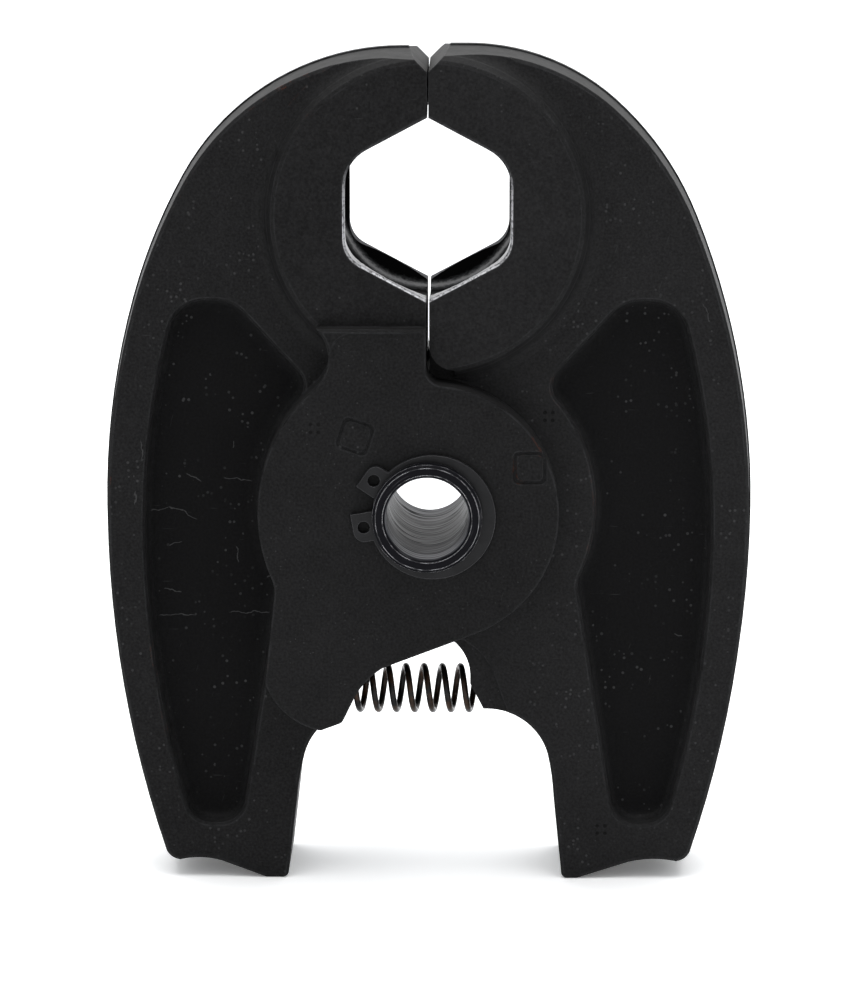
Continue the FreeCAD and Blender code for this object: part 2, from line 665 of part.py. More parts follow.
def fork_half():
    ear, ear_top, flank = ear_wire()
    hub_half = HUB_HALF_THICKNESS + HUB_TOP_LEDGE
    hub = slab(ear, -hub_half, hub_half)
    hub = fillet_upright(hub, [(-flank[0], flank[1])], HUB_FLANK_BEND_RADIUS)
    lobe_corner = (-LOBE_INNER_X, LOBE_BOTTOM + LOBE_BOTTOM_SLOPE_RISE)
    hub = fillet_upright(hub, [lobe_corner], LOBE_CORNER_RADIUS)
    hub = fillet_upright(hub, [(-LOBE_THROAT_X, LOBE_THROAT_HEIGHT)], LOBE_THROAT_RADIUS)
    hub = fillet_upright(hub, [(-LOBE_OUTER_X, LOBE_OUTER_HEIGHT)], LOBE_OUTER_RADIUS)
    lobe_toe = (-LOBE_INNER_X - LOBE_TOE_WIDTH, LOBE_BOTTOM)
    hub = fillet_upright(hub, [lobe_toe], LOBE_TOE_RADIUS)
    hub = break_edges(hub, hub_half, anywhere)
    plate = arm_plate([(PARTING_HALF_GAP, HUB_BOTTOM)], LEFT)
    blank = drafted_blank(LEFT)
    body = plate.fuse([half_boss(LEFT).common(blank), hub.common(blank)])
    cuts = die_cuts() + fork_slot() + ledge_cut(ear_top[1]) + stamp_cuts()
    cuts += [tip_cut(LEFT), cylinder_y(SLEEVE_RADIUS + SLEEVE_CLEARANCE, FAR),
             spring_seat(SLOT_WALL_X, FORK_SEAT_DEPTH, LEFT)]
    for cut in cuts:
        body = body.cut(cut)
    return body.removeSplitter()


# Half with the tongue, on the right

def tongue_moves():
    """Moves from the crotch up the step line and round the tongue's disc to the parting face."""
    bend = (TONGUE_STEP_BEND_X, TONGUE_STEP_BEND_HEIGHT)
    step_top = (TONGUE_STEP_TOP_X, TONGUE_STEP_TOP_HEIGHT)
    disc_top = (PARTING_HALF_GAP, math.sqrt(EAR_RADIUS ** 2 - PARTING_HALF_GAP ** 2))
    return [
        bend,
        (arc_middle(bend, step_top, -TONGUE_STEP_BULGE), step_top),
        polar(EAR_RADIUS, TONGUE_NECK_ANGLE),
        (polar(EAR_RADIUS, 180.0), disc_top),
    ]


def seat_lug():
    """Thinner lug beside the tongue that takes the spring's end."""
    neck = polar(EAR_RADIUS, SEAT_LUG_NECK_ANGLE)
    nose = (SEAT_LUG_X, SEAT_LUG_TOP)
    crotch = (RIGHT_CROTCH_CENTRE_X, HUB_BOTTOM - CROTCH_RADIUS)
    turn = math.degrees(math.acos((SEAT_LUG_ROOT_X - RIGHT_CROTCH_CENTRE_X) / CROTCH_RADIUS))
    moves = [
        (arc_middle(neck, nose, SEAT_LUG_NECK_BULGE), nose),
        (SEAT_LUG_X, SEAT_LUG_BOTTOM),
        (SEAT_LUG_TOE_X, HUB_BOTTOM),
        (RIGHT_CROTCH_CENTRE_X, HUB_BOTTOM),
        (on_arc(crotch, CROTCH_RADIUS, (90 + turn) / 2), on_arc(crotch, CROTCH_RADIUS, turn)),
        (SEAT_LUG_ROOT_X, -EAR_RADIUS),
        (SEAT_LUG_X, -0.75 * EAR_RADIUS),
    ]
    half = ARM_HALF_THICKNESS - SEAT_LUG_STEP
    return slab(loop_wire(neck, moves, RIGHT), -half, half)


def boss_corner_cut():
    """Rounds the lower inner corner of the boss on both faces and clears the other half's ears."""
    low = BOSS_CENTRE_HEIGHT - BOSS_RADIUS + BOSS_CORNER_LIFT
    centre = (PARTING_HALF_GAP + BOSS_CORNER_RADIUS, low + BOSS_CORNER_RADIUS)
    diagonal = BOSS_CORNER_RADIUS * math.sqrt(0.5)
    corner = ((centre[0] - diagonal, centre[1] - diagonal), (centre[0], low))
    moves = [(PARTING_HALF_GAP, centre[1]), corner, (centre[0], 0), (-OVERRUN, 0)]
    base = ARM_HALF_THICKNESS
    top = HUB_HALF_THICKNESS
    cuts = both_faces(loop_wire((-OVERRUN, centre[1]), moves, RIGHT), base, top)
    radius = EAR_RADIUS + SLOT_CLEARANCE
    ring = cylinder_y(radius, top).cut(cylinder_y(radius, base))
    return cuts + [ring]


def tongue_half():
    boss = half_boss(RIGHT)
    for cut in boss_corner_cut():
        boss = boss.cut(cut)
    plate = arm_plate(tongue_moves(), RIGHT)
    body = plate.fuse([boss.common(drafted_blank(RIGHT)), seat_lug()])
    cuts = die_cuts() + [tip_cut(RIGHT), cylinder_y(SLEEVE_RADIUS + SLEEVE_CLEARANCE, FAR),
                         spring_seat(SEAT_LUG_X, TONGUE_SEAT_DEPTH, RIGHT)]
    for cut in cuts:
        body = body.cut(cut)
    return body.removeSplitter()


# Pivot

def pivot_sleeve():
    """Hollow pivot pin with a groove near each end for its ring."""
    half = SLEEVE_HALF_LENGTH
    body = cylinder_y(SLEEVE_RADIUS, half).cut(cylinder_y(SLEEVE_BORE_RADIUS, FAR))
    ends = [edge for edge in body.Edges if edge.BoundBox.YLength < 0.01]
    body = body.makeChamfer(SLEEVE_CHAMFER, ends)
    for facing in (-1, 1):
        middle = facing * ring_centre()
        groove = cylinder_y(SLEEVE_RADIUS + OVERRUN, RING_GROOVE_WIDTH / 2, y=middle)
        core = cylinder_y(SLEEVE_RADIUS - RING_GROOVE_DEPTH, RING_GROOVE_WIDTH / 2, y=middle)
        body = body.cut(groove.cut(core))
    return body


def ring_centre():
    """Distance from the middle plane to the middle of a ring."""
    return HUB_HALF_THICKNESS + RING_SIDE_PLAY + RING_THICKNESS / 2


def ring_lug(sign):
    """One lug of the ring, lying along X, with its outer corner bent round."""
    root = SLEEVE_RADIUS / 2
    half = RING_LUG_HALF_WIDTH
    tip = RING_LUG_RADIUS
    outline = loop_wire((root, half), [(tip, half), (tip, -half), (root, -half)])
    lug = slab(outline, -RING_THICKNESS / 2, RING_THICKNESS / 2)
    return fillet_upright(lug, [(RING_LUG_RADIUS, sign * half)], RING_LUG_BEND_RADIUS)


def retaining_ring(facing):
    """External ring with two drilled lugs; facing is -1 in front and 1 behind."""
    ring = cylinder_y(RING_OUTER_RADIUS, RING_THICKNESS / 2, RING_OFFSET, 0)
    for sign in (-1, 1):
        lug = ring_lug(sign)
        lug.rotate(FreeCAD.Vector(0, 0, 0), FreeCAD.Vector(0, 1, 0), -(180 + sign * RING_LUG_ANGLE))
        ring = ring.fuse(lug)
    ring = ring.cut(cylinder_y(SLEEVE_RADIUS - RING_GROOVE_DEPTH + RING_SEAT_GAP, RING_THICKNESS))
    reach = 2 * RING_LUG_RADIUS
    gap = reach * math.tan(math.radians(RING_GAP_HALF_ANGLE))
    wedge = loop_wire((0, 0), [(-reach, gap), (-reach, -gap)])
    ring = ring.cut(slab(wedge, -RING_THICKNESS, RING_THICKNESS))
    for sign in (-1, 1):
        x, z = polar(RING_HOLE_PITCH_RADIUS, 180 + sign * RING_LUG_ANGLE)
        ring = ring.cut(cylinder_y(RING_HOLE_RADIUS, RING_THICKNESS, x, z))
    ring.rotate(FreeCAD.Vector(0, 0, 0), FreeCAD.Vector(0, 1, 0), 180 - RING_OPENING_ANGLE)
    ring.translate(FreeCAD.Vector(0, facing * ring_centre(), 0))
    return ring.removeSplitter()


# Spring

def compression_spring():
    """Right-hand coil from one blind seat to the other."""
    start = -(SLOT_WALL_X + FORK_SEAT_DEPTH) + SPRING_WIRE_RADIUS + SPRING_END_GAP
    end = SEAT_LUG_X + TONGUE_SEAT_DEPTH - SPRING_WIRE_RADIUS - SPRING_END_GAP
    helix = Part.makeLongHelix(SPRING_PITCH, end - start, SPRING_RADIUS, 0)
    circle = Part.makeCircle(SPRING_WIRE_RADIUS, at(SPRING_RADIUS, 0), FreeCAD.Vector(0, 1, 0))
    coil = Part.Wire(helix.Edges).makePipeShell([Part.Wire(circle)], True, True)
    turns = (SPRING_BOTTOM_X - start) / SPRING_PITCH
    coil.rotate(FreeCAD.Vector(0, 0, 0), FreeCAD.Vector(0, 1, 0), 90)
    phase = 360 * (turns - math.floor(turns))
    coil.rotate(FreeCAD.Vector(0, 0, 0), FreeCAD.Vector(1, 0, 0), -90 - phase)
    coil.translate(at(start, SPRING_AXIS_HEIGHT))
    return coil


def export(name, shape):
    shape.exportStep(os.path.join("parts", name + ".step"))


def main():
    os.makedirs("parts", exist_ok=True)
    export("left_half_jaw", fork_half())
    export("right_half_jaw", tongue_half())
    export("pivot_sleeve", pivot_sleeve())
    export("front_retaining_ring", retaining_ring(-1))
    export("rear_retaining_ring", retaining_ring(1))
    export("compression_spring", compression_spring())


main()
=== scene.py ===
import math

import bmesh
import bpy
from mathutils import Matrix, Vector


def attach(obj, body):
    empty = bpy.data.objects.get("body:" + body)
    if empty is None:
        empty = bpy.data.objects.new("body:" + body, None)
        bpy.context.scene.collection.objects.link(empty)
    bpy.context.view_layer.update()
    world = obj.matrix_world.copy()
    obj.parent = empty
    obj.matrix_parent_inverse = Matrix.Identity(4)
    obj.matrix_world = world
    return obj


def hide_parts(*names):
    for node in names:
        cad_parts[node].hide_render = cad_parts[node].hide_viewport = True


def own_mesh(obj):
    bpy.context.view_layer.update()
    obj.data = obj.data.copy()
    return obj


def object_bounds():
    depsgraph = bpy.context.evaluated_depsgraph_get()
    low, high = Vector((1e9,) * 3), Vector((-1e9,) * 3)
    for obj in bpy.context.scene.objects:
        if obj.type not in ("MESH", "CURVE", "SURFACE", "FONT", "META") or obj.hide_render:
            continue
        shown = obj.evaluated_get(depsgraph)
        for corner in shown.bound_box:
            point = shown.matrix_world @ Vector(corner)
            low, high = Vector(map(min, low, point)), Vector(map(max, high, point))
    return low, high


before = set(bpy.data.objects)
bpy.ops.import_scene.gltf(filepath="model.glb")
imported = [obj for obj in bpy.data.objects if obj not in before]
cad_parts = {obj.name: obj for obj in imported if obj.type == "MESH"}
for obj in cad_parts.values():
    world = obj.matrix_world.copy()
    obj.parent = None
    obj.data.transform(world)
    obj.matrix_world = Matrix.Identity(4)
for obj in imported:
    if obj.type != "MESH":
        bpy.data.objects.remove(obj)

cad_low, cad_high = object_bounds()
MM = 0.001

# Camera, from the fit to the photograph
CAMERA_PLACE = (6.636 * MM, -542.823 * MM, 111.944 * MM)
CAMERA_PITCH = 0.20491
CAMERA_YAW = 0.013359
SENSOR = 36.0
FOCAL_PIXELS = 3700.0
FRAME_HEIGHT_PIXELS = 1000.0

# Places on the object, in millimetres
DIE_CENTRE_HEIGHT = 44.4
DIE_REACH = 15.0
DIE_HALF_DEPTH = 12.45
BEAD_BOTTOM_RADIUS = 14.3
BEAD_ARC_RADIUS = 26.0
POCKET_FLOOR_DEPTH = 6.4

# Spring, with the same coil as the solid it stands for
SPRING_AXIS_HEIGHT = -29.9
SPRING_RADIUS = 3.3
SPRING_WIRE_RADIUS = 0.47
SPRING_PITCH = 2.745
SPRING_BOTTOM_X = 0.79
SPRING_LEFT_END = -17.85
SPRING_RIGHT_END = 11.65
SPRING_TAPER_START = 6.9
SPRING_TAPER_END = 8.6
SPRING_END_RADIUS = 2.35
SPRING_SPLIT_GAP = 0.01

# Fine light hairlines in the left forging as (start x, start z, end x, end z)
LEFT_HAIRLINES = [
    (-41.3, -1.4, -38.7, -1.0), (-38.7, -1.0, -36.4, -1.5), (-36.4, -1.5, -34.3, -2.8),
    (-35.8, 4.1, -33.7, 3.0), (-30.2, 3.6, -26.2, 3.2), (-40.2, -17.4, -34.5, -17.3),
    (-29.7, -17.0, -23.5, -16.8), (-39.3, -13.3, -36.9, -13.9), (-38.6, -6.6, -36.7, -6.2),
    (-28.8, 9.0, -28.9, 8.1), (-28.5, -6.8, -28.2, -9.3), (-42.1, 9.8, -42.2, 7.0),
    (-43.1, 2.2, -43.3, 0.1), (-24.0, -11.6, -23.1, -11.1),
]
RIGHT_HAIRLINES = [(32.5, 52.4, 33.6, 50.1), (40.2, 30.4, 41.1, 27.6), (37.9, -20.4, 36.8, -20.1)]

# Groups of four test dots, by the middle of each group
LEFT_DOT_GROUPS = [(-16.4, 12.8)]
RIGHT_DOT_GROUPS = [(17.7, 13.5), (26.0, -49.5)]
DOT_PITCH = 1.15
DOT_RADIUS = 0.34


# Camera and lights

def add_camera():
    data = bpy.data.cameras.new("camera")
    data.sensor_fit = "AUTO"
    data.sensor_width = SENSOR
    data.lens = FOCAL_PIXELS * SENSOR / FRAME_HEIGHT_PIXELS
    data.clip_start = 0.01
    data.clip_end = 20.0
    camera = bpy.data.objects.new("camera", data)
    bpy.context.scene.collection.objects.link(camera)
    camera.location = CAMERA_PLACE
    ahead = Vector((-math.sin(CAMERA_YAW) * math.cos(CAMERA_PITCH),
                    math.cos(CAMERA_YAW) * math.cos(CAMERA_PITCH),
                    -math.sin(CAMERA_PITCH)))
    right = Vector((math.cos(CAMERA_YAW), math.sin(CAMERA_YAW), 0.0))
    up = right.cross(ahead)
    camera.rotation_mode = "QUATERNION"
    camera.rotation_quaternion = Matrix((right, up, -ahead)).transposed().to_quaternion()
    bpy.context.scene.camera = camera


def area_light(name, place, target, size, power):
    data = bpy.data.lights.new(name, "AREA")
    data.shape = "RECTANGLE"
    data.size, data.size_y = size
    data.energy = power
    light = bpy.data.objects.new(name, data)
    bpy.context.scene.collection.objects.link(light)
    light.location = place
    light.rotation_mode = "QUATERNION"
    light.rotation_quaternion = (Vector(target) - Vector(place)).to_track_quat("-Z", "Y")


# Node helpers

def put(tree, kind, sockets=None, **settings):
    """A new node with its settings, and its sockets given as values or as links."""
    made = tree.nodes.new(kind)
    for key, value in settings.items():
        setattr(made, key, value)
    for key, value in (sockets or {}).items():
        if isinstance(value, bpy.types.NodeSocket):
            tree.links.new(value, made.inputs[key])
        else:
            made.inputs[key].default_value = value
    return made


def math_of(tree, operation, first, second=0.0, clamp=False):
    made = put(tree, "ShaderNodeMath", {0: first, 1: second}, operation=operation, use_clamp=clamp)
    return made.outputs[0]


def product(tree, first, *others):
    for other in others:
        first = math_of(tree, "MULTIPLY", first, other)
    return first


def rest_of(tree, share):
    return math_of(tree, "SUBTRACT", 1.0, share)


def vector_of(tree, operation, first, second=(0.0, 0.0, 0.0)):
    made = put(tree, "ShaderNodeVectorMath", {0: first, 1: second}, operation=operation)
    return made.outputs["Value" if operation in ("LENGTH", "DOT_PRODUCT") else "Vector"]


def ramp(tree, value, low, high, start=0.0, end=1.0, kind="SMOOTHSTEP"):
    """Start below low and end above high, with a smooth change between them."""
    sockets = {"Value": value, "From Min": low, "From Max": high, "To Min": start, "To Max": end}
    return put(tree, "ShaderNodeMapRange", sockets, interpolation_type=kind).outputs["Result"]


def mix_colors(tree, share, first, second):
    made = put(tree, "ShaderNodeMix", data_type="RGBA")
    for socket, value in zip((made.inputs[0], made.inputs[6], made.inputs[7]), (share, first, second)):
        if isinstance(value, bpy.types.NodeSocket):
            tree.links.new(value, socket)
        else:
            socket.default_value = value
    return made.outputs[2]


def mix_values(tree, share, first, second):
    made = put(tree, "ShaderNodeMix", {0: share, 2: first, 3: second}, data_type="FLOAT")
    return made.outputs[0]


def noise(tree, vector, scale, detail=2.0, roughness=0.5):
    sockets = {"Vector": vector, "Scale": scale, "Detail": detail, "Roughness": roughness}
    return put(tree, "ShaderNodeTexNoise", sockets).outputs["Fac"]


def flat_point(tree, place, x=0.0, z=0.0):
    """The point's x and z from a centre, with its y left out."""
    flat = vector_of(tree, "MULTIPLY", place, (1.0, 0.0, 1.0))
    return vector_of(tree, "SUBTRACT", flat, (x * MM, 0.0, z * MM))


def specks(tree, place, scale, size, keep):
    """Round specks in a share of the cells, from 0 to 1."""
    cells = put(tree, "ShaderNodeTexVoronoi", {"Vector": place, "Scale": scale})
    tint = put(tree, "ShaderNodeSeparateColor", {"Color": cells.outputs["Color"]})
    reach = product(tree, tint.outputs["Green"], size)
    inside = math_of(tree, "SUBTRACT", reach, cells.outputs["Distance"])
    dot = ramp(tree, inside, 0.0, size * 0.35)
    kept = math_of(tree, "GREATER_THAN", tint.outputs["Red"], 1.0 - keep)
    return product(tree, dot, kept)


def hairline_group():
    """How near a point is to a straight run, from 0 away from it to 1 on it."""
    tree = bpy.data.node_groups.new("hairline", "ShaderNodeTree")
    for name, kind in (("Point", "NodeSocketVector"), ("Start", "NodeSocketVector"),
                       ("Run", "NodeSocketVector"), ("Inverse", "NodeSocketFloat")):
        tree.interface.new_socket(name, in_out="INPUT", socket_type=kind)
    tree.interface.new_socket("Share", in_out="OUTPUT", socket_type="NodeSocketFloat")
    given = tree.nodes.new("NodeGroupInput").outputs
    away = vector_of(tree, "SUBTRACT", given["Point"], given["Start"])
    along = vector_of(tree, "DOT_PRODUCT", away, given["Run"])
    share = math_of(tree, "MULTIPLY", along, given["Inverse"], clamp=True)
    foot = put(tree, "ShaderNodeVectorMath", {0: given["Run"], "Scale": share}, operation="SCALE")
    gap = vector_of(tree, "SUBTRACT", away, foot.outputs["Vector"])
    far = vector_of(tree, "LENGTH", gap)
    near = ramp(tree, far, 0.02 * MM, 0.10 * MM, 0.7, 0.0)
    ends = product(tree, share, rest_of(tree, share))
    faded = product(tree, near, ramp(tree, ends, 0.0, 0.06, 0.25, 1.0))
    result = tree.nodes.new("NodeGroupOutput")
    tree.links.new(faded, result.inputs["Share"])
    return tree


def hairlines(tree, place, lines, group):
    """The strongest share of any of the lines, each a little wavy."""
    wave = put(tree, "ShaderNodeTexNoise", {"Vector": place, "Scale": 750.0, "Detail": 4.0})
    shift = vector_of(tree, "SUBTRACT", wave.outputs["Color"], (0.5, 0.5, 0.5))
    moved = put(tree, "ShaderNodeVectorMath", {0: shift, "Scale": 1.1 * MM}, operation="SCALE")
    point = vector_of(tree, "ADD", flat_point(tree, place), moved.outputs["Vector"])
    point = vector_of(tree, "MULTIPLY", point, (1.0, 0.0, 1.0))
    total = None
    for x0, z0, x1, z1 in lines:
        run = Vector((x1 - x0, 0.0, z1 - z0)) * MM
        line = put(tree, "ShaderNodeGroup", node_tree=group)
        tree.links.new(point, line.inputs["Point"])
        line.inputs["Start"].default_value = (x0 * MM, 0.0, z0 * MM)
        line.inputs["Run"].default_value = run
        line.inputs["Inverse"].default_value = 1.0 / run.length_squared
        share = line.outputs["Share"]
        total = share if total is None else math_of(tree, "MAXIMUM", total, share)
    return total


def dot_marks(tree, place, groups):
    """The four small dots of each group, from 0 to 1."""
    total = None
    for x, z in groups:
        point = vector_of(tree, "ABSOLUTE", flat_point(tree, place, x, z))
        corner = (DOT_PITCH / 2 * MM, 0.0, DOT_PITCH / 2 * MM)
        far = vector_of(tree, "LENGTH", vector_of(tree, "SUBTRACT", point, corner))
        dot = ramp(tree, far, 0.6 * DOT_RADIUS * MM, DOT_RADIUS * MM, 1.0, 0.0)
        total = dot if total is None else math_of(tree, "MAXIMUM", total, dot)
    return total


def edge_share(tree, radius, low, high):
    """1 along edges within the radius, 0 on the faces between them, and the rounded normal."""
    rounded = put(tree, "ShaderNodeBevel", {"Radius": radius * MM}, samples=4).outputs["Normal"]
    flat = put(tree, "ShaderNodeNewGeometry").outputs["Normal"]
    turn = math_of(tree, "SUBTRACT", 1.0, vector_of(tree, "DOT_PRODUCT", rounded, flat))
    return ramp(tree, turn, low, high), rounded


def new_material(name):
    material = bpy.data.materials.new(name)
    material.use_nodes = True
    tree = material.node_tree
    return material, tree, tree.nodes["Principled BSDF"]


def connect(tree, shader, **links):
    for name, value in links.items():
        tree.links.new(value, shader.inputs[name.replace("_", " ")])


def bump(tree, height, distance, normal=None, strength=1.0):
    sockets = {"Height": height, "Distance": distance * MM, "Strength": strength}
    if normal is not None:
        sockets["Normal"] = normal
    return put(tree, "ShaderNodeBump", sockets).outputs["Normal"]


# Materials

FORGING_DARK = (0.0104, 0.0103, 0.0106, 1.0)
FORGING_POCKET = (0.0034, 0.0034, 0.0036, 1.0)
FORGING_LIGHT = (0.062, 0.062, 0.063, 1.0)
# Edge colour: partly wear of the oxide, partly a painted highlight along the edges
FORGING_WEAR_AND_HIGHLIGHT = (0.06, 0.061, 0.064, 1.0)
RUST = (0.14, 0.035, 0.010, 1.0)
DIE_STAIN = (0.035, 0.018, 0.012, 1.0)
LAND_DARK = (0.16, 0.16, 0.165, 1.0)
LAND_LIGHT = (0.52, 0.52, 0.54, 1.0)
# Rear lands: painted shade, darker than the front lands of the same steel
LAND_REAR_PAINTED_SHADE = (0.09, 0.09, 0.095, 1.0)
DOT_DARK = (0.002, 0.002, 0.002, 1.0)
FORGING_SHEEN = 0.075
OUTER_SHEEN = 0.27
REAR_LAND_SHEEN = 0.06
# Bead groove tones by depth: bands of painted highlight and painted shade that stand for its reflections
GROOVE_PAINTED_LIGHT_TONES = ((0.0, 0.07), (1.8, 0.03), (3.2, 0.010), (4.6, 0.05), (5.8, 0.15), (7.0, 0.03),
                (8.0, 0.003), (10.7, 0.003))
GROOVE_TONE_DEPTH = 10.7
RIGHT_LIFT = 1.27


def painted_groove_light(tree, depth, rough_noise):
    """Tones of the bead groove from its middle out to its ends, broken up by a rough noise: bands of painted
    highlight and painted shade for its reflections.
    """
    shift = ramp(tree, rough_noise, 0.3, 0.7, -0.5 * MM, 0.5 * MM, "LINEAR")
    shaken = math_of(tree, "ADD", depth, shift)
    along = ramp(tree, shaken, 0.0, GROOVE_TONE_DEPTH * MM, 0.0, 1.0, "LINEAR")
    tones = put(tree, "ShaderNodeValToRGB", {"Fac": along})
    stops = tones.color_ramp.elements
    while len(stops) < len(GROOVE_PAINTED_LIGHT_TONES):
        stops.new(0.5)
    for stop, (place, painted_groove_grey) in zip(stops, GROOVE_PAINTED_LIGHT_TONES):
        stop.position = place / GROOVE_TONE_DEPTH
        stop.color = (painted_groove_grey, painted_groove_grey, painted_groove_grey * 1.03, 1.0)
    return tones.outputs["Color"]


def land_share(tree, place, radial, depth):
    """1 on the die's lands, which lie outside the bead groove's arc, with a ragged border to it."""
    squares = math_of(tree, "SUBTRACT", (BEAD_ARC_RADIUS * MM) ** 2, product(tree, depth, depth))
    arc = math_of(tree, "ADD", math_of(tree, "SQRT", squares),
                  (BEAD_BOTTOM_RADIUS - BEAD_ARC_RADIUS) * MM)
    ragged = ramp(tree, noise(tree, place, 1100.0, 4.0, 0.7), 0.35, 0.65, 0.02 * MM, 0.16 * MM, "LINEAR")
    beyond = math_of(tree, "SUBTRACT", math_of(tree, "SUBTRACT", radial, arc), ragged)
    return ramp(tree, beyond, 0.0, 0.05 * MM)


def forging_tone(tree, place, pocket, middle, grain, lift):
    """The forging's dark skin, darker on the pockets' floors, mottled in three sizes."""
    broad = noise(tree, place, 55.0, 5.0, 0.6)
    base = mix_colors(tree, pocket, FORGING_DARK, FORGING_POCKET)
    shade = math_of(tree, "ADD", ramp(tree, broad, 0.3, 0.7, 0.86 * lift, 1.16 * lift, "LINEAR"),
                    ramp(tree, middle, 0.3, 0.7, -0.2, 0.2, "LINEAR"))
    shade = math_of(tree, "ADD", shade, ramp(tree, grain, 0.3, 0.7, -0.55, 0.55, "LINEAR"))
    return put(tree, "ShaderNodeVectorMath", {0: base, "Scale": shade}, operation="SCALE").outputs["Vector"]


def forging_marks(tree, place):
    """Light specks, the fine ones in patches, and fine scores in two directions, from 0 to 1."""
    patches = ramp(tree, noise(tree, place, 120.0, 3.0), 0.42, 0.62)
    fine = product(tree, specks(tree, place, 1500.0, 0.42, 0.30), patches, 0.6)
    coarse = product(tree, specks(tree, place, 700.0, 0.17, 0.10), 0.55)
    stretched = vector_of(tree, "MULTIPLY", place, (260.0, 260.0, 3400.0))
    across = ramp(tree, noise(tree, stretched, 1.0, 1.0), 0.76, 0.84, 0.0, 0.3)
    turned = put(tree, "ShaderNodeVectorRotate",
                 {"Vector": place, "Axis": (0.0, 1.0, 0.0), "Angle": 1.25})
    upright = vector_of(tree, "MULTIPLY", turned.outputs["Vector"], (300.0, 300.0, 3600.0))
    upright = ramp(tree, noise(tree, upright, 1.0, 1.0), 0.77, 0.85, 0.0, 0.25)
    return math_of(tree, "MAXIMUM", math_of(tree, "MAXIMUM", fine, coarse),
                   math_of(tree, "MAXIMUM", across, upright))


def die_finish(tree, place, parts, radial, depth):
    """Color in the die, with painted highlight and shade in the groove and painted shade on the rear lands; the
    groove's painted tone; and the shares of its bright lands and its rear lands.
    """
    # The groove's colour: painted highlight and painted shade in bands by depth.
    machined_with_painted_light = painted_groove_light(tree, depth, noise(tree, place, 1500.0, 4.0, 0.7))
    painted_groove_grey = put(tree, "ShaderNodeSeparateColor", {"Color": machined_with_painted_light}).outputs["Green"]
    stained = product(tree, ramp(tree, depth, 1.0 * MM, 3.4 * MM, 1.0, 0.0),
                      ramp(tree, noise(tree, place, 1000.0, 3.0, 0.7), 0.5, 0.6), 0.7)
    machined_with_painted_light = mix_colors(tree, stained, machined_with_painted_light, DIE_STAIN)
    land = land_share(tree, place, radial, depth)
    rising = math_of(tree, "SUBTRACT", parts.outputs["Z"], DIE_CENTRE_HEIGHT * MM)
    upper = ramp(tree, rising, 1.0 * MM, 7.0 * MM)
    rear = ramp(tree, parts.outputs["Y"], -1.0 * MM, 1.0 * MM)
    pitted = ramp(tree, noise(tree, place, 1900.0, 3.0, 0.7), 0.36, 0.56)
    plain = mix_colors(tree, pitted, LAND_DARK, LAND_LIGHT)
    # Painted shade on the rear lands.
    plain = mix_colors(tree, product(tree, rear, 0.85), plain, LAND_REAR_PAINTED_SHADE)
    plain = mix_colors(tree, product(tree, upper, 0.9), plain, FORGING_DARK)
    color = mix_colors(tree, land, machined_with_painted_light, plain)
    bright = product(tree, land, rest_of(tree, rear), rest_of(tree, upper))
    return color, painted_groove_grey, bright, product(tree, land, rear)


